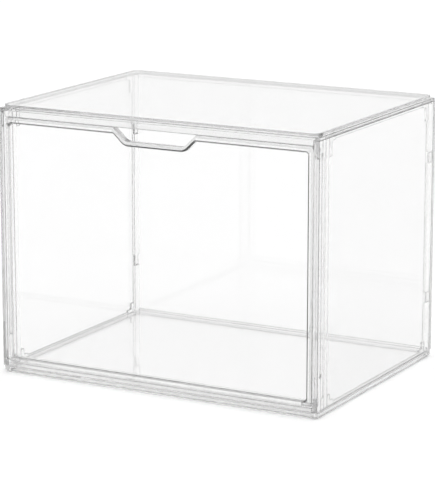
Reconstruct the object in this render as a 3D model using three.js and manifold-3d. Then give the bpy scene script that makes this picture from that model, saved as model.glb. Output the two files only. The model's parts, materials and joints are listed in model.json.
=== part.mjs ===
// A clear figure display case: a base tray, a top cover, two side panels, a back panel and a door that drops
// down on two pins at its lower corners. Millimetres, +Z up, the door faces -Y, and the origin is the middle
// of the underside.

import * as THREE from "three";
import { mergeVertices } from "three/addons/utils/BufferGeometryUtils.js";
import Module from "manifold-3d";

const wasm = await Module();
wasm.setup();

// The case, over the edges of its base and its top cover.
const CASE_WIDTH = 330;
const CASE_DEPTH = 246;
const CASE_HEIGHT = 252;
const CORNER_RADIUS = 3;

// The gap between pieces that fit together, and the wider one around the door.
const CLEARANCE = 0.3;
const DOOR_GAP = 0.4;

// The base: an upturned tray on a low plinth, with a sill lip under the door and vents in its rear skirt.
const BASE_HEIGHT = 6.2;
const BASE_FLOOR = 2.4;
const BASE_SKIRT = 4.4;
const PLINTH_HEIGHT = 1.8;
const PLINTH_INSET = 1.2;
const SILL_HEIGHT = 3.4;
const VENT_WIDTH = 3;
const VENT_HEIGHT = 1.8;
const VENT_PITCH = 79;

// The top cover: a flange over the panels, a raised deck with rounded corners, and a header lip over the door.
const FLANGE_THICKNESS = 2.6;
const DECK_RISE = 2.8;
const DECK_INSET = 1.6;
const DECK_RADIUS = 9.5;
const DECK_WALL = 2.4;
const HEADER_DROP = 5.6;
const LIP_THICKNESS = 2.6;

// The panels, and the ridges on their edges that sit in grooves of the base and the top cover.
const SIDE_WALL = 3.1;
const BACK_WALL = 3;
const RIDGE_WIDTH = 1.2;
const RIDGE_HEIGHT = 1.1;
const RIDGE_SETBACK = 12;

// The fences inside the panels, on the base and under the top cover.
const FENCE_THICKNESS = 1.6;
const BASE_FENCE = 2.4;
const COVER_FENCE = 3.4;

// The side panel's borders: the door jamb, the rib that the clips grip, and the rear post.
const JAMB_THICKNESS = 2.3;
const JAMB_DEPTH = 9.8;
const RIB_THICKNESS = 2.3;
const RIB_DEPTH = 6.6;
const POST_THICKNESS = 3.2;
const POST_DEPTH = 9;

// The strip on the jamb that the closed door rests against.
const STOP_WIDTH = 3.4;
const STOP_THICKNESS = 2;
const STOP_FOOT = 22;
const STOP_HEAD = 6;

// The clips: a tongue on a wider foot beside each rib and post, and a prong on the rib's other side.
const CLIP_WIDTH = 6;
const CLIP_THICKNESS = 2;
const CLIP_HEIGHT = 10.5;
const CLIP_DROP = 18;
const CLIP_FOOT_WIDTH = 13;
const CLIP_FOOT_HEIGHT = 4.4;
const CLIP_RADIUS = 1.4;
const PRONG_WIDTH = 5.4;

// The tongues of the back panel and the slots in the rear posts that they snap into.
const TONGUE_HEIGHT = 10;
const TONGUE_LENGTH = 7.4;
const TONGUE_THICKNESS = 1.4;
const TONGUE_SPACING = 136;

// The door: a pane at the back of a rim, with a finger notch in the top edge.
const DOOR_THICKNESS = 7.4;
const PANE_THICKNESS = 2.2;
const RIM_WIDTH = 5.6;
const RIM_ROUND = 2.4;
const RIM_CORNER_RADIUS = 3;
const PANE_CORNER_RADIUS = 1.6;
const NOTCH_TOP_WIDTH = 84;
const NOTCH_FLOOR_WIDTH = 59;
const NOTCH_DEPTH = 11.8;
const NOTCH_RIM = 4.4;
const NOTCH_SHOULDER_RADIUS = 4;
const NOTCH_FLOOR_RADIUS = 8;

// The hinge: a pin in each end of the door's lower rail, this far in from its front and lower faces.
const HINGE_INSET = 2.8;
const PIN_RADIUS = 1.25;
const PIN_IN_DOOR = 10;
const PIN_IN_JAMB = 2.7;

const ROUND_SIDES = 24;
const CURVE_STEPS = 6;
const ROUND_STEPS = 4;

// Places that follow from the sizes. PAST carries a cutter or a root clear of the face it crosses.
const PAST = 0.5;
const FRONT = -CASE_DEPTH / 2;
const BACK = CASE_DEPTH / 2;
const SIDE = CASE_WIDTH / 2;
const COVER_Z = CASE_HEIGHT - FLANGE_THICKNESS;
const DECK_Z = CASE_HEIGHT + DECK_RISE;
const PANEL_LOW = BASE_HEIGHT + CLEARANCE;
const PANEL_HIGH = COVER_Z - CLEARANCE;
const PANEL_MIDDLE = (PANEL_LOW + PANEL_HIGH) / 2;
const SIDE_FACE = SIDE - SIDE_WALL;
const JAMB_FACE = SIDE_FACE - JAMB_THICKNESS;
const BACK_FACE = BACK - BACK_WALL;
const POST_BACK = BACK_FACE - CLEARANCE;
const POST_FRONT = POST_BACK - POST_DEPTH;
const PRONG_FRONT = FRONT + JAMB_DEPTH + CLEARANCE;
const RIB_FRONT = PRONG_FRONT + PRONG_WIDTH + CLEARANCE;
const RIB_BACK = RIB_FRONT + RIB_DEPTH;
const FENCE_FACE = SIDE_FACE - CLEARANCE;
const FENCE_INSET = SIDE_WALL + CLEARANCE + FENCE_THICKNESS;
const HEADER_LOW = COVER_Z - HEADER_DROP;
const SILL_HIGH = BASE_HEIGHT + SILL_HEIGHT;
const LIP_SIDE = JAMB_FACE - CLEARANCE;
const LIP_BACK = FRONT + LIP_THICKNESS;
const DOOR_SIDE = JAMB_FACE - DOOR_GAP;
const DOOR_TOP = HEADER_LOW - DOOR_GAP;
const DOOR_LOW = SILL_HIGH + DOOR_GAP;
const DOOR_BACK = FRONT + DOOR_THICKNESS;
const HINGE_Y = FRONT + HINGE_INSET;
const HINGE_Z = DOOR_LOW + HINGE_INSET;
const BORE_RADIUS = PIN_RADIUS + CLEARANCE;
const GROOVE_WIDTH = RIDGE_WIDTH + 2 * CLEARANCE;

// A closed outline through the given corners, each [x, y, radius] with its corner rounded to that radius.
function outline(corners) {
  const points = corners.flatMap(([x, y, radius = 0], i) => {
    const at = new THREE.Vector2(x, y);
    if (radius === 0) {
      return [at];
    }
    const [beforeX, beforeY] = corners.at(i - 1);
    const [afterX, afterY] = corners[(i + 1) % corners.length];
    const back = new THREE.Vector2(beforeX, beforeY).sub(at).normalize();
    const ahead = new THREE.Vector2(afterX, afterY).sub(at).normalize();
    const halfAngle = Math.acos(back.dot(ahead)) / 2;
    const turn = Math.sign(ahead.cross(back)) * (Math.PI - 2 * halfAngle);
    const middle = back.clone().add(ahead).setLength(radius / Math.sin(halfAngle)).add(at);
    const reach = radius / Math.tan(halfAngle);
    const first = back.clone().multiplyScalar(reach).add(at).sub(middle);
    const steps = Array.from({ length: CURVE_STEPS + 1 }, (_, k) => k / CURVE_STEPS);
    return steps.map((part) => first.clone().rotateAround(new THREE.Vector2(), turn * part).add(middle));
  });
  return new THREE.Shape(points);
}

function rectangle(x0, y0, x1, y1, radius = 0) {
  const [left, right] = [Math.min(x0, x1), Math.max(x0, x1)];
  return outline([[left, y0, radius], [right, y0, radius], [right, y1, radius], [left, y1, radius]]);
}

// A geometry as a solid for cutting and joining.
function solidOf(geometry) {
  geometry.deleteAttribute("normal");
  geometry.deleteAttribute("uv");
  const welded = mergeVertices(geometry, 1e-4);
  const vertProperties = new Float32Array(welded.attributes.position.array);
  const triVerts = new Uint32Array(welded.index.array);
  return new wasm.Manifold(new wasm.Mesh({ numProp: 3, vertProperties, triVerts }));
}

// Outlines pushed along an axis: drawn in y and z along X, in x and z along Y, and in x and y along Z.
function extruded(shape, length, axes, origin, bevel) {
  const options = { depth: length, bevelEnabled: false, ...bevel };
  const geometry = new THREE.ExtrudeGeometry(shape, options);
  const [u, v, w] = axes.map((axis) => new THREE.Vector3(...axis));
  const place = new THREE.Matrix4().makeBasis(u, v, w).setPosition(...origin);
  return solidOf(geometry.applyMatrix4(place));
}

function alongX(shape, x0, x1) {
  const low = Math.min(x0, x1);
  return extruded(shape, Math.abs(x1 - x0), [[0, 1, 0], [0, 0, 1], [1, 0, 0]], [low, 0, 0]);
}

function alongY(shape, y0, y1, bevel) {
  return extruded(shape, y1 - y0, [[1, 0, 0], [0, 0, 1], [0, -1, 0]], [0, y1, 0], bevel);
}

function alongZ(shape, z0, z1) {
  return extruded(shape, z1 - z0, [[1, 0, 0], [0, 1, 0], [0, 0, 1]], [0, 0, z0]);
}

function block(x0, y0, z0, x1, y1, z1) {
  return alongZ(rectangle(x0, y0, x1, y1), z0, z1);
}

// A round bar along X.
function barAlongX(radius, y, z, x0, x1) {
  const bar = new THREE.CylinderGeometry(radius, radius, Math.abs(x1 - x0), ROUND_SIDES);
  bar.rotateZ(Math.PI / 2);
  bar.translate((x0 + x1) / 2, y, z);
  return solidOf(bar);
}

function joined(first, ...others) {
  return others.reduce((sum, solid) => sum.add(solid), first);
}

function cut(first, ...others) {
  return others.reduce((rest, solid) => rest.subtract(solid), first);
}

function meshOf(name, solid, material, origin = [0, 0, 0]) {
  const { numProp, vertProperties, triVerts } = solid.getMesh();
  const positions = new Float32Array(triVerts.length * 3);
  triVerts.forEach((vertex, i) => {
    for (let k = 0; k < 3; k += 1) {
      positions[3 * i + k] = vertProperties[vertex * numProp + k] - origin[k];
    }
  });
  const geometry = new THREE.BufferGeometry();
  geometry.setAttribute("position", new THREE.BufferAttribute(positions, 3));
  geometry.computeVertexNormals();
  const mesh = new THREE.Mesh(geometry, material);
  mesh.name = name;
  return mesh;
}

// The plan of the base and of the top cover, drawn in by an inset.
function plan(inset, radius) {
  return rectangle(-SIDE + inset, FRONT + inset, SIDE - inset, BACK - inset, radius);
}

// The grooves that take the panels' ridges: one along each side and one along the back.
function grooves(z0, z1) {
  const sideMiddle = SIDE - SIDE_WALL / 2;
  const backMiddle = BACK - BACK_WALL / 2;
  const half = GROOVE_WIDTH / 2;
  const reach = RIDGE_SETBACK - CLEARANCE;
  const right = rectangle(sideMiddle - half, FRONT + reach, sideMiddle + half, BACK - reach);
  const left = rectangle(-sideMiddle - half, FRONT + reach, -sideMiddle + half, BACK - reach);
  const rear = rectangle(-SIDE + reach, backMiddle - half, SIDE - reach, backMiddle + half);
  return [right, left, rear].map((shape) => alongZ(shape, z0, z1));
}

// The fences that keep the panels from leaning in: along the sides between rib and post, and along the back.
function fences(z0, z1) {
  const inner = FENCE_FACE - FENCE_THICKNESS;
  const start = RIB_BACK + CLEARANCE;
  const end = POST_FRONT - CLEARANCE;
  const reach = SIDE_FACE - POST_THICKNESS - CLEARANCE;
  const sides = [-1, 1].map((side) => block(side * inner, start, z0, side * FENCE_FACE, end, z1));
  return [...sides, block(-reach, POST_BACK - FENCE_THICKNESS, z0, reach, POST_BACK, z1)];
}

// A clip's profile in y and z. It stands up from the base or hangs down from the top cover, its straight edge
// lies at start, and it is widened at the root in the direction along.
function clip(side, start, along, width, footWidth, root, sunk, tip) {
  const foot = root + Math.sign(tip - root) * CLIP_FOOT_HEIGHT;
  const profile = [
    [start, sunk],
    [start + along * footWidth, sunk],
    [start + along * footWidth, foot, footWidth > width ? CLIP_RADIUS : 0],
    [start + along * width, foot, footWidth > width ? CLIP_RADIUS : 0],
    [start + along * width, tip, CLIP_RADIUS],
    [start, tip, CLIP_RADIUS],
  ];
  const corners = footWidth > width ? profile : profile.filter((corner, i) => i !== 2 && i !== 3);
  const turned = along * (tip - root) > 0 ? corners : corners.reverse();
  return alongX(outline(turned), side * FENCE_FACE, side * (FENCE_FACE - CLIP_THICKNESS));
}

function clips(root, sunk, tip) {
  return [-1, 1].flatMap((side) => [
    clip(side, RIB_BACK + CLEARANCE, 1, CLIP_WIDTH, CLIP_FOOT_WIDTH, root, sunk, tip),
    clip(side, POST_FRONT - CLEARANCE, -1, CLIP_WIDTH, CLIP_FOOT_WIDTH, root, sunk, tip),
    clip(side, PRONG_FRONT, 1, PRONG_WIDTH, PRONG_WIDTH, root, sunk, tip),
  ]);
}

// The base: a slab on a plinth, hollowed from below.
function baseTray() {
  const plinth = alongZ(plan(PLINTH_INSET, CORNER_RADIUS), 0, BASE_HEIGHT - BASE_FLOOR);
  const slab = alongZ(plan(0, CORNER_RADIUS), PLINTH_HEIGHT, BASE_HEIGHT);
  const hollow = alongZ(plan(BASE_SKIRT, CORNER_RADIUS), -PAST, BASE_HEIGHT - BASE_FLOOR);
  const vents = [-1, 0, 1].map((step) => {
    const middle = step * VENT_PITCH;
    const half = VENT_WIDTH / 2;
    return block(middle - half, BACK - BASE_SKIRT - PAST, -PAST, middle + half, BACK + PAST, VENT_HEIGHT);
  });
  const shell = cut(
    joined(plinth, slab), hollow, ...vents,
    ...grooves(BASE_HEIGHT - RIDGE_HEIGHT, BASE_HEIGHT + PAST),
  );
  const sunk = BASE_HEIGHT - BASE_FLOOR / 2;
  const sill = block(-LIP_SIDE, FRONT, sunk, LIP_SIDE, LIP_BACK, SILL_HIGH);
  const fence = fences(sunk, BASE_HEIGHT + BASE_FENCE);
  return joined(shell, sill, ...fence, ...clips(BASE_HEIGHT, sunk, BASE_HEIGHT + CLIP_HEIGHT));
}

// The top cover: a flange and a raised deck of even wall, with the header lip between the jambs.
function topCover() {
  const flange = alongZ(plan(0, CORNER_RADIUS), COVER_Z, CASE_HEIGHT);
  const deck = alongZ(plan(DECK_INSET, DECK_RADIUS), CASE_HEIGHT - PAST, DECK_Z);
  const pocket = alongZ(plan(FENCE_INSET, CORNER_RADIUS), COVER_Z - PAST, DECK_Z - DECK_WALL);
  const shell = cut(joined(flange, deck), pocket, ...grooves(COVER_Z - PAST, COVER_Z + RIDGE_HEIGHT));
  const sunk = COVER_Z + FLANGE_THICKNESS / 2;
  const header = block(-LIP_SIDE, FRONT, HEADER_LOW, LIP_SIDE, LIP_BACK, sunk);
  const fence = fences(COVER_Z - COVER_FENCE, sunk);
  return joined(shell, header, ...fence, ...clips(COVER_Z, sunk, COVER_Z - CLIP_DROP));
}

// A side panel: a wall with the door jamb, the clips' rib and the rear post along its borders.
function sidePanel(side) {
  const wall = block(side * SIDE, FRONT, PANEL_LOW, side * SIDE_FACE, BACK, PANEL_HIGH);
  const root = side * (SIDE_FACE + PAST);
  const jamb = block(root, FRONT, PANEL_LOW, side * JAMB_FACE, FRONT + JAMB_DEPTH, PANEL_HIGH);
  const rib = block(root, RIB_FRONT, PANEL_LOW, side * (SIDE_FACE - RIB_THICKNESS), RIB_BACK, PANEL_HIGH);
  const postFace = side * (SIDE_FACE - POST_THICKNESS);
  const post = block(root, POST_FRONT, PANEL_LOW, postFace, POST_BACK, PANEL_HIGH);

  // The stop strip runs out at a slope at both ends.
  const stopRoot = side * (JAMB_FACE + PAST);
  const stopFace = side * (JAMB_FACE - STOP_WIDTH);
  const stopLow = HINGE_Z + STOP_FOOT;
  const stopHigh = HEADER_LOW - STOP_HEAD;
  const slope = STOP_WIDTH + PAST;
  const corners = [
    [stopRoot, stopLow],
    [stopFace, stopLow + slope],
    [stopFace, stopHigh - slope],
    [stopRoot, stopHigh],
  ];
  const stopFront = DOOR_BACK + CLEARANCE;
  const stop = alongY(outline(side < 0 ? corners : corners.reverse()), stopFront, stopFront + STOP_THICKNESS);

  // The ridges on the lower and upper edges.
  const ridgeMiddle = side * (SIDE - SIDE_WALL / 2);
  const half = RIDGE_WIDTH / 2;
  const ridgeTall = PANEL_HIGH - PANEL_LOW + 2 * RIDGE_HEIGHT;
  const ridge = block(
    ridgeMiddle - half, FRONT + RIDGE_SETBACK, PANEL_MIDDLE - ridgeTall / 2,
    ridgeMiddle + half, BACK - RIDGE_SETBACK, PANEL_MIDDLE + ridgeTall / 2,
  );

  // The blind hole for the hinge pin, and the slots for the back panel's tongues.
  const pinEnd = side * (JAMB_FACE + PIN_IN_JAMB + CLEARANCE);
  const hole = barAlongX(BORE_RADIUS, HINGE_Y, HINGE_Z, side * (JAMB_FACE - PAST), pinEnd);
  const slots = [-1, 1].map((step) => {
    const middle = PANEL_MIDDLE + (step * TONGUE_SPACING) / 2;
    const reach = TONGUE_HEIGHT / 2 + CLEARANCE;
    const slotFront = BACK_FACE - TONGUE_LENGTH - CLEARANCE;
    const slotFace = side * (SIDE_FACE - POST_THICKNESS - PAST);
    return block(side * SIDE_FACE, slotFront, middle - reach, slotFace, BACK_FACE, middle + reach);
  });
  return cut(joined(wall, jamb, rib, post, stop, ridge), hole, ...slots);
}

// The back panel stands between the side panels, with two tongues at each side that snap into the posts.
function backPanel() {
  const edge = SIDE_FACE - CLEARANCE;
  const wall = block(-edge, BACK_FACE, PANEL_LOW, edge, BACK, PANEL_HIGH);
  const ridgeMiddle = BACK - BACK_WALL / 2;
  const half = RIDGE_WIDTH / 2;
  const ridge = block(
    -SIDE + RIDGE_SETBACK, ridgeMiddle - half, PANEL_LOW - RIDGE_HEIGHT,
    SIDE - RIDGE_SETBACK, ridgeMiddle + half, PANEL_HIGH + RIDGE_HEIGHT,
  );
  const tongues = [-1, 1].flatMap((side) => [-1, 1].map((step) => {
    const middle = PANEL_MIDDLE + (step * TONGUE_SPACING) / 2;
    const reach = TONGUE_HEIGHT / 2;
    const inner = edge - TONGUE_THICKNESS;
    const tongueBack = BACK_FACE + PAST;
    return block(side * inner, BACK_FACE - TONGUE_LENGTH, middle - reach, side * edge, tongueBack, middle + reach);
  }));
  return joined(wall, ridge, ...tongues);
}

// The door's outline, or the pane's inside the rim: a rectangle with the finger notch in its top edge.
function doorOutline(rim, notchRim, cornerRadius) {
  const side = DOOR_SIDE - rim;
  const low = DOOR_LOW + rim;
  const high = DOOR_TOP - rim;
  const flare = (NOTCH_TOP_WIDTH - NOTCH_FLOOR_WIDTH) / 2;
  const slant = Math.hypot(flare, NOTCH_DEPTH) / NOTCH_DEPTH;
  const halfAt = (z) => NOTCH_TOP_WIDTH / 2 - ((DOOR_TOP - z) * flare) / NOTCH_DEPTH + notchRim * slant;
  const floor = DOOR_TOP - NOTCH_DEPTH - notchRim;
  return outline([
    [-side, low, cornerRadius],
    [side, low, cornerRadius],
    [side, high, cornerRadius],
    [halfAt(high), high, NOTCH_SHOULDER_RADIUS],
    [halfAt(floor), floor, NOTCH_FLOOR_RADIUS],
    [-halfAt(floor), floor, NOTCH_FLOOR_RADIUS],
    [-halfAt(high), high, NOTCH_SHOULDER_RADIUS],
    [-side, high, cornerRadius],
  ]);
}

// The door: a slab whose front edge is rounded all the way round, hollowed from the front down to the pane.
function frontDoor() {
  const rounded = {
    bevelEnabled: true,
    bevelThickness: RIM_ROUND,
    bevelSize: RIM_ROUND,
    bevelOffset: -RIM_ROUND,
    bevelSegments: ROUND_STEPS,
  };
  const slab = alongY(doorOutline(0, 0, RIM_CORNER_RADIUS), FRONT + RIM_ROUND, DOOR_BACK + RIM_ROUND, rounded);
  const behind = block(-SIDE, DOOR_BACK, 0, SIDE, DOOR_BACK + 4 * RIM_ROUND, CASE_HEIGHT);
  const paneFront = DOOR_BACK - PANE_THICKNESS;
  const recess = alongY(doorOutline(RIM_WIDTH, NOTCH_RIM, PANE_CORNER_RADIUS), FRONT - PAST, paneFront);
  const bores = [-1, 1].map((side) => {
    const end = side * (DOOR_SIDE - PIN_IN_DOOR - CLEARANCE);
    return barAlongX(BORE_RADIUS, HINGE_Y, HINGE_Z, side * (DOOR_SIDE + PAST), end);
  });
  return cut(slab, behind, recess, ...bores);
}

function hingePin(side) {
  const inJamb = side * (JAMB_FACE + PIN_IN_JAMB);
  return barAlongX(PIN_RADIUS, HINGE_Y, HINGE_Z, side * (DOOR_SIDE - PIN_IN_DOOR), inJamb);
}

// Clear plastic with a faint cool tint, a little denser on the thick base and door.
function clearPlastic(color, opacity) {
  return new THREE.MeshStandardMaterial({ color, opacity, transparent: true, roughness: 0.06, metalness: 0 });
}

const panelPlastic = clearPlastic(0xf1f4f5, 0.2);
const framePlastic = clearPlastic(0xe6eaec, 0.3);

const displayCase = new THREE.Group();
displayCase.name = "figure_display_case";
displayCase.add(meshOf("base_tray", baseTray(), framePlastic));
displayCase.add(meshOf("top_cover", topCover(), framePlastic));
displayCase.add(meshOf("left_side_panel", sidePanel(-1), panelPlastic));
displayCase.add(meshOf("right_side_panel", sidePanel(1), panelPlastic));
displayCase.add(meshOf("back_panel", backPanel(), panelPlastic));

// The door and its pins hang in a group that turns about the hinge line.
const hinge = [0, HINGE_Y, HINGE_Z];
const door = new THREE.Group();
door.position.set(...hinge);
door.add(meshOf("front_door", frontDoor(), framePlastic, hinge));
door.add(meshOf("left_hinge_pin", hingePin(-1), framePlastic, hinge));
door.add(meshOf("right_hinge_pin", hingePin(1), framePlastic, hinge));
displayCase.add(door);

export default displayCase;
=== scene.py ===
"""A clear, snap-together figure display case on a pale studio floor.

Metres, in the CAD frame: +Z up, the door faces -Y, and the origin is the middle of the underside.
"""

import json
import math

import bpy
import numpy as np
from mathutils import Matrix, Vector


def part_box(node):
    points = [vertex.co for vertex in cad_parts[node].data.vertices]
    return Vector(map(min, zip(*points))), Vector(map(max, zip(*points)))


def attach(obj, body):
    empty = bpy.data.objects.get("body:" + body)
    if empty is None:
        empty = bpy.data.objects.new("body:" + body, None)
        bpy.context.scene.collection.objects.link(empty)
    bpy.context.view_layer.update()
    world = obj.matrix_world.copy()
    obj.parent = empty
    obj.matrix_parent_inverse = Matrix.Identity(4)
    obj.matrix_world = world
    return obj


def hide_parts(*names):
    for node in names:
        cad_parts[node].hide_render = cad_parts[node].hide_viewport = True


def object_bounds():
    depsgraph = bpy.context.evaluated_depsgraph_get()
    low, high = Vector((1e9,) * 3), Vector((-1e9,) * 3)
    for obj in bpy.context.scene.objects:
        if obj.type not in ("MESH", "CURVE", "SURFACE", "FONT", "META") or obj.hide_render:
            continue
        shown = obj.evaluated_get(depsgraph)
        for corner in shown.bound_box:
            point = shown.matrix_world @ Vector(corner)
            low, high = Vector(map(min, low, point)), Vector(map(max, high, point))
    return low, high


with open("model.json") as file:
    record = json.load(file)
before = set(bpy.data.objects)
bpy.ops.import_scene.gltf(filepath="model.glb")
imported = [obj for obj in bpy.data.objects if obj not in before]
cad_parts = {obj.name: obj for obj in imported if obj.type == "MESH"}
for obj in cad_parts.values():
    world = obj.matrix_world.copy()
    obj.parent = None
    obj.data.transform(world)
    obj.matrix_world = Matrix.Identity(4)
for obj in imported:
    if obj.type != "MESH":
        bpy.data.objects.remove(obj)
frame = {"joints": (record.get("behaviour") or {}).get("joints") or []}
cad_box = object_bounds()


# Base tray: one injection moulding in clear polystyrene, an upturned shallow tray on a low plinth. Fences and
# clips on its floor hold the panels, a sill lip runs under the door, and vents let air out of the rear skirt.

MM = 0.001
tray_low, tray_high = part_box("base_tray")
SIDE, FRONT, BACK = tray_high.x, tray_low.y, tray_high.y
CLEARANCE = 0.3 * MM
EDGE = 0.4 * MM  # radius of an outer edge
CREASE = 0.2 * MM  # radius of an inner corner, which stays clear
CUTTER_EDGE = 0.1 * MM  # radius of the edges inside a cut
# The greys below are painted shade: base colour darkened on edges, broad curves and narrow faces, standing in
# for the dark lines that light draws along clear plastic's edges.
BROAD = 2 * MM  # a curve of this radius or more is only a little grey
NARROW = 0.2  # how grey a narrow face is, where a rounded edge is 1
SOFT = 0.35  # how grey a broad curve is
# Painted shade set by side to follow how the light falls: how grey the tray's front is, and its share on the
# front's ends, the right wall and the prongs.
TRAY_FRONT_GREY = 0.4
TRAY_FRONT_SHARES = (0.2, 1.0)  # how much of its grey the front has at its left and right ends
TRAY_RIGHT_SHARE = 0.3
PRONG_SHARE = 0.2
CORNER_RADIUS = 3 * MM
TRAY_TOP = 6.2 * MM
TRAY_FLOOR = 2.4 * MM
TRAY_SKIRT = 4.4 * MM
PLINTH_HEIGHT = 1.8 * MM
PLINTH_INSET = 1.2 * MM
FOOT_EDGE = 1.5 * MM
BORDER = 3 * MM  # a face nearer the outside than this belongs to an outer wall
SILL_TOP = 9.6 * MM
LIP_THICKNESS = 2.6 * MM
VENT_WIDTH = 3 * MM
VENT_HEIGHT = 1.8 * MM
VENT_PITCH = 79 * MM
SIDE_WALL = 3.1 * MM
BACK_WALL = 3 * MM
JAMB_THICKNESS = 2.3 * MM
JAMB_DEPTH = 9.8 * MM
RIB_THICKNESS = 2.3 * MM
RIB_DEPTH = 6.6 * MM
POST_THICKNESS = 3.2 * MM
POST_DEPTH = 9 * MM
FENCE_THICKNESS = 1.6 * MM
TRAY_FENCE = 2.4 * MM
RIDGE_WIDTH = 1.2 * MM
RIDGE_HEIGHT = 1.1 * MM
RIDGE_SETBACK = 12 * MM
CLIP_WIDTH = 6 * MM
CLIP_THICKNESS = 2 * MM
CLIP_FOOT_WIDTH = 13 * MM
CLIP_FOOT_HEIGHT = 4.4 * MM
CLIP_RADIUS = 1.4 * MM
PRONG_WIDTH = 5.4 * MM

SIDE_FACE = SIDE - SIDE_WALL
BACK_FACE = BACK - BACK_WALL
JAMB_FACE = SIDE_FACE - JAMB_THICKNESS
RIB_FACE = SIDE_FACE - RIB_THICKNESS
POST_FACE = SIDE_FACE - POST_THICKNESS
FENCE_FACE = SIDE_FACE - CLEARANCE
POST_BACK = BACK_FACE - CLEARANCE
POST_FRONT = POST_BACK - POST_DEPTH
JAMB_BACK = FRONT + JAMB_DEPTH
PRONG_FRONT = JAMB_BACK + CLEARANCE
RIB_FRONT = PRONG_FRONT + PRONG_WIDTH + CLEARANCE
RIB_BACK = RIB_FRONT + RIB_DEPTH
LIP_SIDE = JAMB_FACE - CLEARANCE
LIP_BACK = FRONT + LIP_THICKNESS
PAST = 0.5 * MM  # carries a cutter or a root clear of the face that it crosses
WITHIN = 10 * MM  # how far inside its stations a profile is closed
OUTLINE_STEPS = 10  # facets in a corner of an outline
EDGE_STEPS = 4  # facets in a corner of a profile
AXES = "zxy"  # a profile's coordinates roll round 0, 1 or 2 places to lie along each of these


def rounded(corners, radii, steps):
    """A closed polygon with an arc at each corner: point = corner + r (n - m), normals n.

    n swings from the outward normal of one side to that of the next, m is their mean over the cosine of half
    the turn, and r is negative in a hollow corner. Gives points and normals by corner, step and coordinate.
    """
    corners = np.asarray(corners, float)
    ahead = np.roll(corners, -1, 0) - corners
    after = np.stack([ahead[:, 1], -ahead[:, 0]], 1) / np.linalg.norm(ahead, axis=1, keepdims=True)
    before = np.roll(after, 1, 0)
    turn = np.arctan2(before[:, 0] * after[:, 1] - before[:, 1] * after[:, 0], (before * after).sum(1))
    swing = turn[:, None] * np.linspace(0, 1, steps + 1)
    c, s = np.cos(swing), np.sin(swing)
    normals = np.stack([before[:, :1] * c - before[:, 1:] * s, before[:, :1] * s + before[:, 1:] * c], -1)
    mean = (before + after) / (2 * np.cos(turn / 2) ** 2)[:, None]
    reach = (np.sign(turn) * radii)[:, None, None]
    return corners[:, None] + reach * (normals - mean[:, None]), normals


def greyness(radii, flats, steps):
    """How grey each step of a rounded polygon is.

    It is 1 round an edge, less round a broad curve and 0 in a crease: painted shade that darkens the base
    colour. Each corner is followed by its flat.
    """
    radii = np.asarray(radii)
    curve = np.select([radii <= CREASE, radii < BROAD], [0.0, 1.0], SOFT)
    return np.concatenate([np.repeat(curve[:, None], steps, 1), np.asarray(flats)[:, None]], 1).ravel()


def outline(corners, radii, flats=0.0):
    """Rounded corners as a counter-clockwise ring: its points, outward normals and how grey each step is."""
    corners = np.asarray(corners, float)
    radii = np.broadcast_to(np.asarray(radii, float), len(corners))
    flats = np.broadcast_to(np.asarray(flats, float), len(corners))
    ahead = np.roll(corners, -1, 0)
    if (corners[:, 0] * ahead[:, 1] - corners[:, 1] * ahead[:, 0]).sum() < 0:
        corners, radii, flats = corners[::-1], radii[::-1], np.roll(flats[::-1], -1)
    points, normals = rounded(corners, radii, OUTLINE_STEPS)
    return points.reshape(-1, 2), normals.reshape(-1, 2), greyness(radii, flats, OUTLINE_STEPS)


def rectangle(u0, v0, u1, v1, radius, flats=0.0):
    """A rounded rectangle, whose flats run from its low v side round by its high u side."""
    return outline([(u0, v0), (u1, v0), (u1, v1), (u0, v1)], radius, flats)


def carried(name, axis, stations):
    """A profile carried round an outline along an axis, closed by a flat cap at each end.

    A station is an outline, how far out it lies in the profile, its height and its edge radius. Each point of
    the profile's arc at a station gives a ring: the outline moved along its normals by the arc's own offset.
    A face's painted shade is as grey as the greyer of its ring and its profile, and the caps are clear.
    """
    outlines, out, height, radii = zip(*stations)
    inside = min(out) - WITHIN
    corners = [*zip(out, height), (inside, height[-1]), (inside, height[0])]
    arcs, _ = rounded(corners, np.array([*radii, EDGE, EDGE]), EDGE_STEPS)
    arcs = arcs[:len(stations)]
    offset = arcs[..., 0] - np.array(out)[:, None]
    ring = np.array([points for points, _, _ in outlines])[:, None]
    normal = np.array([normals for _, normals, _ in outlines])[:, None]
    flat = ring + offset[..., None, None] * normal
    level = np.broadcast_to(arcs[..., 1, None, None], flat.shape[:-1] + (1,))
    grid = np.concatenate([flat, level], -1).reshape(-1, flat.shape[2], 3)
    rows, columns = grid.shape[:2]
    grid = np.roll(grid, AXES.index(axis), axis=-1)
    at = np.arange(rows * columns).reshape(rows, columns)
    beside = np.roll(at, -1, 1)
    faces = np.stack([at[:-1], beside[:-1], beside[1:], at[1:]], -1).reshape(-1, 4)
    mesh = bpy.data.meshes.new(name)
    mesh.from_pydata(grid.reshape(-1, 3), [], [*faces.tolist(), at[0, ::-1].tolist(), at[-1].tolist()])
    grey = np.maximum.outer(greyness(radii, np.zeros(len(radii)), EDGE_STEPS)[:-1], outlines[0][2]).ravel()
    mesh.attributes.new("grey", "FLOAT", "FACE").data.foreach_set("value", np.append(grey, [0.0, 0.0]))
    shell = bpy.data.objects.new(name, mesh)
    bpy.context.scene.collection.objects.link(shell)
    return shell


def block(low, high, axis, edge=EDGE, flats=0.0):
    """A block between two corners with all its edges rounded, its length along the axis."""
    low, high = np.minimum(low, high), np.maximum(low, high)
    w = "xyz".index(axis)
    u, v = (w + 1) % 3, (w + 2) % 3
    ring = rectangle(low[u], low[v], high[u], high[v], edge, flats)
    return carried("block", axis, [(ring, 0, low[w], edge), (ring, 0, high[w], edge)])


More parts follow.
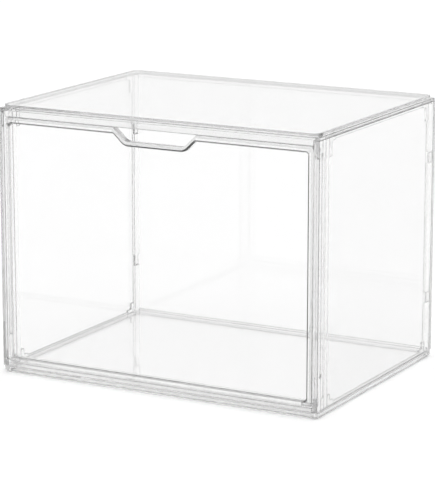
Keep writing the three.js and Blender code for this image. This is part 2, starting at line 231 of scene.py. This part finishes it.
def fused(piece, joined=(), cut=()):
    """Joins shells to a piece and cuts others out, so that it is one closed body as it leaves the mould."""
    # All are triangles first, because a face with many corners can come out of a join folded over itself.
    for shell in (piece, *joined, *cut):
        shell.modifiers.new("facets", "TRIANGULATE")
    for operation, shells in (("UNION", joined), ("DIFFERENCE", cut)):
        for shell in shells:
            step = piece.modifiers.new(operation, "BOOLEAN")
            step.operation = operation
            step.solver = "MANIFOLD"
            step.object = shell
    made = piece.evaluated_get(bpy.context.evaluated_depsgraph_get())
    piece.data = bpy.data.meshes.new_from_object(made)
    piece.modifiers.clear()
    for shell in (*joined, *cut):
        bpy.data.objects.remove(shell)
    return piece


def scale_painted_shade(piece, share):
    """Scales each face's painted shade, how grey it is, by a share worked out from the x, y and z of its
    middle.
    """
    faces, grey = piece.data.polygons, piece.data.attributes["grey"].data
    middle, level = np.empty((len(faces), 3)), np.empty(len(faces))
    faces.foreach_get("center", middle.ravel())
    grey.foreach_get("value", level)
    grey.foreach_set("value", level * share(*middle.T))


def plan(inset, radius, flats=0.0):
    """The plan of the base and of the top cover, drawn in by an inset."""
    return rectangle(-SIDE + inset, FRONT + inset, SIDE - inset, BACK - inset, radius, flats)


def grooves(z0, z1):
    """Cutters for the grooves that take the panels' ridges, along both sides and the back."""
    half = RIDGE_WIDTH / 2 + CLEARANCE
    reach = RIDGE_SETBACK - CLEARANCE
    side, back = SIDE - SIDE_WALL / 2, BACK - BACK_WALL / 2
    runs = [((x - half, FRONT + reach, z0), (x + half, BACK - reach, z1), "y") for x in (-side, side)]
    runs.append(((-SIDE + reach, back - half, z0), (SIDE - reach, back + half, z1), "x"))
    return [block(low, high, axis, CUTTER_EDGE) for low, high, axis in runs]


def fences(z0, z1):
    """The low walls inside the panels: along the sides between rib and post, and along the back."""
    start, end = RIB_BACK + CLEARANCE, POST_FRONT - CLEARANCE
    inner = FENCE_FACE - FENCE_THICKNESS
    reach = POST_FACE - CLEARANCE
    sides = [block((s * inner, start, z0), (s * FENCE_FACE, end, z1), "y") for s in (-1, 1)]
    return [*sides, block((-reach, POST_BACK - FENCE_THICKNESS, z0), (reach, POST_BACK, z1), "x")]


def clip(side, start, along, width, foot_width, root, sunk, tip):
    """A tongue with a straight edge at start, widened at its root, as a profile in y and z pushed along x."""
    foot = root + math.copysign(CLIP_FOOT_HEIGHT, tip - root)
    corners = [
        (start, sunk, EDGE), (start + along * foot_width, sunk, EDGE),
        (start + along * foot_width, foot, CLIP_RADIUS), (start + along * width, foot, CLIP_RADIUS),
        (start + along * width, tip, CLIP_RADIUS), (start, tip, CLIP_RADIUS),
    ]
    if foot_width == width:
        del corners[2:4]
    y, z, radii = zip(*corners)
    ring = outline(list(zip(y, z)), radii)
    near, far = sorted((side * FENCE_FACE, side * (FENCE_FACE - CLIP_THICKNESS)))
    return carried("clip", "x", [(ring, 0, near, EDGE), (ring, 0, far, EDGE)])


def clips(root, sunk, tip):
    """The tongues beside each rib and post, and the prong on each rib's other side."""
    return [
        clip(side, start, along, width, foot_width, root, sunk, tip)
        for side in (-1, 1)
        for start, along, width, foot_width in (
            (RIB_BACK + CLEARANCE, 1, CLIP_WIDTH, CLIP_FOOT_WIDTH),
            (POST_FRONT - CLEARANCE, -1, CLIP_WIDTH, CLIP_FOOT_WIDTH),
            (PRONG_FRONT, 1, PRONG_WIDTH, PRONG_WIDTH),
        )
    ]


def linear(colour):
    """An sRGB hex colour as linear RGBA."""
    srgb = np.array([int(colour[i:i + 2], 16) for i in (1, 3, 5)]) / 255
    rgb = np.where(srgb <= 0.04045, srgb / 12.92, ((srgb + 0.055) / 1.055) ** 2.4)
    return (*rgb, 1.0)


def add_node(tree, kind, inputs=None, **settings):
    """Adds a node with its settings. An input that is a socket is linked, and any other value is set."""
    node = tree.nodes.new(kind)
    for name, value in settings.items():
        setattr(node, name, value)
    for name, value in (inputs or {}).items():
        if isinstance(value, bpy.types.NodeSocket):
            tree.links.new(value, node.inputs[name])
        else:
            node.inputs[name].default_value = value
    return node


RIPPLE_WIDTH = 46 * MM
RIPPLE_DEPTH = 0.004 * MM
HAZE_WIDTH = 19 * MM
POLISHED, HAZY = 0.012, 0.05  # the roughness of a clear face and of a hazy patch
SATIN = 0.12  # the roughness that an edge adds
REFRACTION = 1.59
BODY_TINT = "#bababa"


def clear_polystyrene(name, face_tint, painted_edge_shade, body_density):
    """Clear polystyrene, polished by its mould: glass-clear face on, grey where the eye looks along a wall.

    Its edges and narrow faces are less polished, and their fine grey lines are painted shade in the base
    colour, standing in for the dark lines that light draws along clear edges. The flow in the mould leaves
    slow ripples, and handling leaves a faint haze in patches.
    """
    material = bpy.data.materials.new(name)
    material.use_nodes = True
    tree = material.node_tree
    tree.nodes.clear()
    place = add_node(tree, "ShaderNodeTexCoord").outputs["Object"]
    ripple = add_node(tree, "ShaderNodeTexNoise", {
        "Vector": place, "Scale": 1 / RIPPLE_WIDTH, "Detail": 1.0, "Roughness": 0.4,
    })
    flow = add_node(tree, "ShaderNodeBump", {
        "Height": ripple.outputs["Fac"], "Strength": 1.0, "Distance": RIPPLE_DEPTH,
    })
    haze = add_node(tree, "ShaderNodeTexNoise", {
        "Vector": place, "Scale": 1 / HAZE_WIDTH, "Detail": 4.0, "Roughness": 0.65,
    })
    polish = add_node(tree, "ShaderNodeMapRange", {
        "Value": haze.outputs["Fac"], "From Min": 0.35, "From Max": 0.75, "To Min": POLISHED, "To Max": HAZY,
    })
    # Painted shade: the grey attribute mixes the edge shade colour into the base colour, darkening edges and
    # narrow faces.
    grey = add_node(tree, "ShaderNodeAttribute", attribute_name="grey").outputs["Fac"]
    shade = add_node(tree, "ShaderNodeMix", {
        "Factor": grey, 6: linear(face_tint), 7: linear(painted_edge_shade),
    }, data_type="RGBA")
    satin = add_node(tree, "ShaderNodeMath", {
        0: grey, 1: SATIN, 2: polish.outputs["Result"],
    }, operation="MULTIPLY_ADD")
    surface = add_node(tree, "ShaderNodeBsdfPrincipled", {
        "Base Color": shade.outputs[2],
        "Roughness": satin.outputs["Value"],
        "Normal": flow.outputs["Normal"],
        "IOR": REFRACTION,
        "Transmission Weight": 1.0,
    })
    body = add_node(tree, "ShaderNodeVolumeAbsorption", {"Color": linear(BODY_TINT), "Density": body_density})
    add_node(tree, "ShaderNodeOutputMaterial", {
        "Surface": surface.outputs["BSDF"], "Volume": body.outputs["Volume"],
    })
    return material


def finished(piece, name, node, body, material):
    """Names a piece and its mesh, gives it its material, and sets it on its CAD body in its node's place."""
    piece.name = piece.data.name = name
    piece.data.materials.clear()
    piece.data.materials.append(material)
    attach(piece, body)
    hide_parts(node)


# The tray's plastic is clear face on, so that its floor stays white, and its edges carry a middle grey of
# painted shade.
tray_plastic = clear_polystyrene("clear_polystyrene_tray", "#fefefe", "#909090", 1.2)
tray_roof = TRAY_TOP - TRAY_FLOOR
tray_sunk = TRAY_TOP - TRAY_FLOOR / 2
skirt_plan, plinth_plan, slab_plan = (
    plan(inset, CORNER_RADIUS, (TRAY_FRONT_GREY, NARROW, 0, NARROW))
    for inset in (TRAY_SKIRT, PLINTH_INSET, 0)
)
tray = carried("tray", "z", [
    (skirt_plan, -TRAY_SKIRT, tray_roof, CREASE),
    (skirt_plan, -TRAY_SKIRT, tray_low.z, FOOT_EDGE),
    (plinth_plan, -PLINTH_INSET, tray_low.z, EDGE),
    (plinth_plan, -PLINTH_INSET, PLINTH_HEIGHT, CREASE),
    (slab_plan, 0, PLINTH_HEIGHT, EDGE),
    (slab_plan, 0, TRAY_TOP, EDGE),
])
sill = block(
    (-LIP_SIDE, FRONT, PLINTH_HEIGHT + EDGE), (LIP_SIDE, LIP_BACK, SILL_TOP), "x", flats=TRAY_FRONT_GREY,
)
vents = [
    block(
        (x - VENT_WIDTH / 2, BACK - TRAY_SKIRT - PAST, -PAST),
        (x + VENT_WIDTH / 2, BACK + PAST, VENT_HEIGHT), "y",
    )
    for x in (-VENT_PITCH, 0, VENT_PITCH)
]
fused(
    tray,
    [sill, *fences(tray_sunk, TRAY_TOP + TRAY_FENCE), *clips(TRAY_TOP, tray_sunk, tray_high.z)],
    [*grooves(TRAY_TOP - RIDGE_HEIGHT, TRAY_TOP + PAST), *vents],
)
# Painted shade set by side to follow how the light falls: the tray's left and rear walls stay clear, its
# right wall and its prongs are only a little grey, and its front grows greyer towards the right.
scale_painted_shade(tray, lambda x, y, z: np.select([
    (x < -SIDE + BORDER) | (y > BACK - BORDER),
    x > SIDE - BORDER,
    (z > SILL_TOP) & (y < RIB_FRONT),
    y < LIP_BACK,
], [0.0, TRAY_RIGHT_SHARE, PRONG_SHARE, np.interp(x, (-SIDE, SIDE), TRAY_FRONT_SHARES)], 1.0))
finished(tray, "clear_base_tray", "base_tray", "case", tray_plastic)


# Side panels: flat clear mouldings. The door jamb, the rib that the clips grip and the rear post run up the
# inside, a stop strip on the jamb meets the closed door, and ridges sit in the grooves below and above.

side_low, side_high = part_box("right_side_panel")
PANEL_LOW, PANEL_HIGH = side_low.z + RIDGE_HEIGHT, side_high.z - RIDGE_HEIGHT
PANEL_MIDDLE = (PANEL_LOW + PANEL_HIGH) / 2
STOP_LOW = 34.8 * MM
STOP_HIGH = 237.8 * MM
STOP_FACE = side_low.x
STOP_THICKNESS = 2 * MM
TONGUE_HEIGHT = 10 * MM
TONGUE_LENGTH = 7.4 * MM
TONGUE_THICKNESS = 1.4 * MM
TONGUE_PITCH = 136 * MM
# Painted shade on the panel's rear end face.
REAR_GREY = 0.1
PIN_RADIUS = 1.25 * MM
PIN_SIDES = 32
door_low, door_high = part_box("front_door")
hinge_y, hinge_z = frame["joints"][0]["pos_m"][1:]


def round_bar(name, radius, x0, x1, edge):
    """A round bar on the hinge line: the circle's points are its own normals times the radius."""
    angle = np.linspace(0, 2 * math.pi, PIN_SIDES, endpoint=False)
    normals = np.stack([np.cos(angle), np.sin(angle)], 1)
    ring = (normals * radius + (hinge_y, hinge_z), normals, np.zeros(PIN_SIDES))
    near, far = sorted((x0, x1))
    return carried(name, "x", [(ring, 0, near, edge), (ring, 0, far, edge)])


def side_panel(side):
    """A panel's plan pushed up, with ridges and a stop strip joined on and the pin's hole and slots cut out.

    Each corner of the plan has its place, its radius and how grey the flat after it is, as painted shade.
    """
    corners = [
        (SIDE, FRONT, EDGE, 0), (SIDE, BACK, EDGE, REAR_GREY), (SIDE_FACE, BACK, EDGE, 0),
        (SIDE_FACE, POST_BACK, CREASE, 0), (POST_FACE, POST_BACK, CREASE, 0),
        (POST_FACE, POST_FRONT, EDGE, 0), (SIDE_FACE, POST_FRONT, CREASE, 0),
        (SIDE_FACE, RIB_BACK, CREASE, 0), (RIB_FACE, RIB_BACK, EDGE, 0),
        (RIB_FACE, RIB_FRONT, EDGE, 0), (SIDE_FACE, RIB_FRONT, CREASE, 0),
        (SIDE_FACE, JAMB_BACK, CREASE, 0), (JAMB_FACE, JAMB_BACK, EDGE, 0),
        (JAMB_FACE, FRONT, EDGE, NARROW),
    ]
    x, y, radii, flats = np.array(corners).T
    ring = outline(np.stack([side * x, y], 1), radii, flats)
    panel = carried("panel", "z", [(ring, 0, PANEL_LOW, CREASE), (ring, 0, PANEL_HIGH, EDGE)])
    ridge = side * (SIDE - SIDE_WALL / 2)
    half = RIDGE_WIDTH / 2
    run = block(
        (ridge - half, FRONT + RIDGE_SETBACK, side_low.z),
        (ridge + half, BACK - RIDGE_SETBACK, side_high.z), "y",
    )
    root = side * (JAMB_FACE + PAST)
    slope = JAMB_FACE + PAST - STOP_FACE
    strip = outline(
        [(STOP_LOW, root), (STOP_LOW + slope, side * STOP_FACE),
         (STOP_HIGH - slope, side * STOP_FACE), (STOP_HIGH, root)], EDGE,
    )
    stop_front = door_high.y + CLEARANCE
    stop_back = stop_front + STOP_THICKNESS
    stop = carried("stop", "y", [(strip, 0, stop_front, EDGE), (strip, 0, stop_back, EDGE)])
    pin_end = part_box("right_hinge_pin")[1].x + CLEARANCE
    hole = round_bar("hole", PIN_RADIUS + CLEARANCE, side * (JAMB_FACE - PAST), side * pin_end, CUTTER_EDGE)
    slots = []
    for z in (PANEL_MIDDLE - TONGUE_PITCH / 2, PANEL_MIDDLE + TONGUE_PITCH / 2):
        reach = TONGUE_HEIGHT / 2 + CLEARANCE
        slots.append(block(
            (side * SIDE_FACE, BACK_FACE - TONGUE_LENGTH - CLEARANCE, z - reach),
            (side * (POST_FACE - PAST), BACK_FACE, z + reach), "z", CUTTER_EDGE,
        ))
    return fused(panel, [run, stop], [hole, *slots])


# The panels' plastic has a breath of grey face on, and darker painted shade on its edges that draws the
# upright lines.
panel_plastic = clear_polystyrene("clear_polystyrene_panel", "#f8f8f8", "#707070", 2.0)
for name, side in (("left", -1), ("right", 1)):
    node = name + "_side_panel"
    finished(side_panel(side), "clear_" + node, node, "case", panel_plastic)


# Back panel: a flat clear sheet between the side panels, with tongues at its sides that snap into the posts.

back_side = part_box("back_panel")[1].x
# Its narrow side faces carry a little painted shade.
sheet = rectangle(-back_side, BACK_FACE, back_side, BACK, EDGE, (0.0, NARROW, 0.0, NARROW))
back_panel = carried("sheet", "z", [(sheet, 0, PANEL_LOW, CREASE), (sheet, 0, PANEL_HIGH, EDGE)])
ridge = BACK - BACK_WALL / 2
back_run = block(
    (-SIDE + RIDGE_SETBACK, ridge - RIDGE_WIDTH / 2, side_low.z),
    (SIDE - RIDGE_SETBACK, ridge + RIDGE_WIDTH / 2, side_high.z), "x",
)
tongues = [
    block(
        (side * (back_side - TONGUE_THICKNESS), BACK_FACE - TONGUE_LENGTH, z - TONGUE_HEIGHT / 2),
        (side * back_side, BACK_FACE + PAST, z + TONGUE_HEIGHT / 2), "z",
    )
    for side in (-1, 1)
    for z in (PANEL_MIDDLE - TONGUE_PITCH / 2, PANEL_MIDDLE + TONGUE_PITCH / 2)
]
fused(back_panel, [back_run, *tongues])
finished(back_panel, "clear_back_panel", "back_panel", "case", panel_plastic)


# Top cover: a flange that rests on the panels and a raised deck of even wall with rounded corners. The header
# lip closes the front between the jambs, and fences and clips below it hold the panels.

cover_low, cover_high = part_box("top_cover")
FLANGE_LOW = 249.4 * MM
FLANGE_TOP = 252 * MM
DECK_INSET = 1.6 * MM
DECK_RADIUS = 9.5 * MM
DECK_WALL = 2.4 * MM
FLANGE_EDGE = 0.7 * MM
# Painted shade set by side to follow how the light falls: how grey the cover's sides are, and its share on
# the right wall and rear clips.
COVER_GREYS = (0.2, 0, 0.6, 0.15)  # how grey its front, right, rear and left are
COVER_RIGHT_SHARE = 0.4
REAR_CLIP_SHARE = 0.3
HEADER_DROP = 5.6 * MM
HEADER_SETBACK = 0.4 * MM
HEADER_EDGE = 0.6 * MM
# Painted shade on the header, greyer towards the right.
HEADER_GREY = 0.26
HEADER_SHARES = (0.5, 1.0)
COVER_FENCE = 3.4 * MM
pocket_inset = SIDE_WALL + CLEARANCE + FENCE_THICKNESS
pocket_plan, flange_plan, deck_plan = (
    plan(inset, radius, COVER_GREYS)
    for inset, radius in ((pocket_inset, CORNER_RADIUS), (0, CORNER_RADIUS), (DECK_INSET, DECK_RADIUS))
)
cover = carried("cover", "z", [
    (pocket_plan, -pocket_inset, cover_high.z - DECK_WALL, CREASE),
    (pocket_plan, -pocket_inset, FLANGE_LOW, CREASE),
    (flange_plan, 0, FLANGE_LOW, EDGE),
    (flange_plan, 0, FLANGE_TOP, FLANGE_EDGE),
    (deck_plan, -DECK_INSET, FLANGE_TOP, CREASE),
    (deck_plan, -DECK_INSET, cover_high.z, CREASE),
])
cover_sunk = (FLANGE_LOW + FLANGE_TOP) / 2
header = block(
    (-LIP_SIDE, FRONT + HEADER_SETBACK, FLANGE_LOW - HEADER_DROP), (LIP_SIDE, LIP_BACK, cover_sunk), "x",
    HEADER_EDGE, (0, 0, 0, HEADER_GREY),
)
fused(
    cover,
    [header, *fences(FLANGE_LOW - COVER_FENCE, cover_sunk), *clips(FLANGE_LOW, cover_sunk, cover_low.z)],
    grooves(FLANGE_LOW - PAST, FLANGE_LOW + RIDGE_HEIGHT),
)
# Painted shade set by side to follow how the light falls: the cover's right wall, prongs and rear clips are
# only a little grey, and its header grows greyer towards the right.
scale_painted_shade(cover, lambda x, y, z: np.select([
    x > SIDE - BORDER,
    (z < FLANGE_LOW) & (y > LIP_BACK) & (y < RIB_FRONT),
    (z < FLANGE_LOW - COVER_FENCE) & (y > 0),
    (z < FLANGE_LOW) & (y < LIP_BACK),
], [COVER_RIGHT_SHARE, PRONG_SHARE, REAR_CLIP_SHARE, np.interp(x, (-SIDE, SIDE), HEADER_SHARES)], 1.0))
# The cover's plastic has the clearest body, so that its deck stays pale, and its edges carry painted shade a
# little darker than the tray's.
cover_plastic = clear_polystyrene("clear_polystyrene_cover", "#fbfbfb", "#8c8c8c", 1.0)
finished(cover, "clear_top_cover", "top_cover", "case", cover_plastic)


# Front door: a thin clear pane moulded into a deep rim, rounded all round its front, that dips to follow the
# finger notch. It drops open on two pins in the ends of its lower rail.

PANE_THICKNESS = 2.2 * MM
RIM_WIDTH = 5.6 * MM
RIM_ROUND = 2.4 * MM
RIM_CORNER_RADIUS = 3 * MM
PANE_CORNER_RADIUS = 2.4 * MM
RIM_EDGE = 1.7 * MM
NOTCH_TOP_WIDTH = 84 * MM
NOTCH_FLOOR_WIDTH = 59 * MM
NOTCH_DEPTH = 11.8 * MM
NOTCH_RIM = 4.4 * MM
NOTCH_SHOULDER_RADIUS = 2.6 * MM
NOTCH_FLOOR_RADIUS = 11 * MM
# Painted shade on the rim, set by side to follow how the light falls: where it is greyest, and its share on
# the top, lower and left rails.
SHADED_ABOVE = 0.8 * door_high.z
SHADED_BEYOND = 0.6 * door_high.x
TOP_RAIL_SHARE = 0.92
LOW_RAIL_SHARES = (0.4, 0.8)
LEFT_RAIL_SHARE = 0.4


def door_outline(rim, notch_rim, corner_radius):
    """The door's outline in z and x, or the pane's inside the rim, with the notch in its top edge."""
    side, low, high = door_high.x - rim, door_low.z + rim, door_high.z - rim
    flare = (NOTCH_TOP_WIDTH - NOTCH_FLOOR_WIDTH) / 2
    floor = door_high.z - NOTCH_DEPTH - notch_rim
    slant = notch_rim * math.hypot(flare, NOTCH_DEPTH) / NOTCH_DEPTH
    shoulder, foot = (
        NOTCH_TOP_WIDTH / 2 - (door_high.z - z) * flare / NOTCH_DEPTH + slant for z in (high, floor)
    )
    corners = [
        (low, -side, corner_radius), (low, side, corner_radius), (high, side, corner_radius),
        (high, shoulder, NOTCH_SHOULDER_RADIUS), (floor, foot, NOTCH_FLOOR_RADIUS),
        (floor, -foot, NOTCH_FLOOR_RADIUS), (high, -shoulder, NOTCH_SHOULDER_RADIUS),
        (high, -side, corner_radius),
    ]
    z, x, radii = zip(*corners)
    return outline(list(zip(z, x)), radii)


rim_ring = door_outline(0, 0, RIM_CORNER_RADIUS)
pane_ring = door_outline(RIM_WIDTH, NOTCH_RIM, PANE_CORNER_RADIUS)
door = carried("door", "y", [
    (pane_ring, -RIM_WIDTH, door_high.y - PANE_THICKNESS, CREASE),
    (pane_ring, -RIM_WIDTH, door_low.y, RIM_EDGE),
    (rim_ring, 0, door_low.y, RIM_ROUND),
    (rim_ring, 0, door_high.y, CREASE),
])
pin_ends = {side: [c.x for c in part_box(side + "_hinge_pin")] for side in ("left", "right")}
bores = [
    round_bar("bore", PIN_RADIUS + CLEARANCE, start, end, CUTTER_EDGE)
    for start, end in (
        (door_low.x - PAST, pin_ends["left"][1] + CLEARANCE),
        (pin_ends["right"][0] - CLEARANCE, door_high.x + PAST),
    )
]
fused(door, cut=bores)
# Painted shade set by side to follow how the light falls: the rim is greyest at the notch and on the right,
# then along the top, and below more towards the right.
scale_painted_shade(door, lambda x, y, z: np.select([
    (z > SHADED_ABOVE) & (abs(x) > NOTCH_TOP_WIDTH / 2),
    (z > SHADED_ABOVE) | (x > SHADED_BEYOND),
    z < door_low.z + RIM_WIDTH,
], [TOP_RAIL_SHARE, 1.0, np.interp(x, (-SIDE, SIDE), LOW_RAIL_SHARES)], LEFT_RAIL_SHARE))
# The door's plastic is clear face on, and its edges carry nearly black painted shade that draws the line
# round the pane.
door_plastic = clear_polystyrene("clear_polystyrene_door", "#fefefe", "#101010", 2.0)
finished(door, "clear_front_door", "front_door", "door", door_plastic)


# Hinge pins: short clear rods with eased ends, held in the door's rail and turning in the jambs.

PIN_EDGE = 0.3 * MM
for side, ends in pin_ends.items():
    pin = round_bar("pin", PIN_RADIUS, *ends, PIN_EDGE)
    node = side + "_hinge_pin"
    finished(pin, "clear_" + node, node, "door", door_plastic)


# Studio: a wide matt white floor in a white room with a lit ceiling and a bright strip low on its walls. The
# dimmer strip between them draws the grey lines along the clear edges.

FLOOR_HALF = 8.0
ROOM_GLOW = [(0.30, 0.95), (0.42, 0.5), (0.70, 0.5), (0.80, 1.86)]  # sine of the height, brightness
floor_z = cad_box[0].z
floor_corners = [(x * FLOOR_HALF, y * FLOOR_HALF, floor_z) for x, y in ((-1, -1), (1, -1), (1, 1), (-1, 1))]
floor_mesh = bpy.data.meshes.new("studio_floor")
floor_mesh.from_pydata(floor_corners, [], [range(len(floor_corners))])
floor = bpy.data.objects.new("studio_floor", floor_mesh)
bpy.context.scene.collection.objects.link(floor)
# Matt white paint, which gives the eye a plain pale ground with no shine.
floor_paint = bpy.data.materials.new("matt_white_sweep")
floor_paint.use_nodes = True
floor_paint.node_tree.nodes.clear()
matt = add_node(floor_paint.node_tree, "ShaderNodeBsdfPrincipled", {
    "Base Color": linear("#f7f7f7"), "Roughness": 0.9, "Specular IOR Level": 0.0,
})
add_node(floor_paint.node_tree, "ShaderNodeOutputMaterial", {"Surface": matt.outputs["BSDF"]})
floor_mesh.materials.append(floor_paint)

world = bpy.data.worlds.new("studio")
bpy.context.scene.world = world
world.use_nodes = True
room = world.node_tree
room.nodes.clear()
way = add_node(room, "ShaderNodeTexCoord").outputs["Generated"]
height = add_node(room, "ShaderNodeSeparateXYZ", {"Vector": way}).outputs["Z"]
glow = add_node(room, "ShaderNodeValToRGB", {"Fac": height})
ramp = glow.color_ramp
while len(ramp.elements) < len(ROOM_GLOW):
    ramp.elements.new(0.5)
for element, (at, level) in zip(ramp.elements, ROOM_GLOW):
    element.position = at
    element.color = (level, level, level, 1)
sky = add_node(room, "ShaderNodeBackground", {"Color": glow.outputs["Color"], "Strength": 1.0})
add_node(room, "ShaderNodeOutputWorld", {"Surface": sky.outputs["Background"]})


# Camera: a long lens from the front right and a little above, as in the photograph.

LENS_MM = 176.1
SENSOR_MM = 36
BOUNCES = 128  # enough for light to cross every clear wall
CAMERA_PLACE = (1.0726, -1.9568, 0.6202)
CAMERA_TURN = math.radians(28.784)
CAMERA_DOWN = math.radians(12.80)
camera = bpy.data.objects.new("camera", bpy.data.cameras.new("camera"))
camera.data.lens = LENS_MM
camera.data.sensor_width = SENSOR_MM
camera.location = CAMERA_PLACE
camera.rotation_euler = (math.pi / 2 - CAMERA_DOWN, 0, CAMERA_TURN)
bpy.context.scene.collection.objects.link(camera)
bpy.context.scene.camera = camera
bpy.context.scene.view_settings.view_transform = "Standard"
cycles = bpy.context.scene.cycles
cycles.max_bounces = cycles.transmission_bounces = cycles.glossy_bounces = BOUNCES
cycles.blur_glossy = 0.0
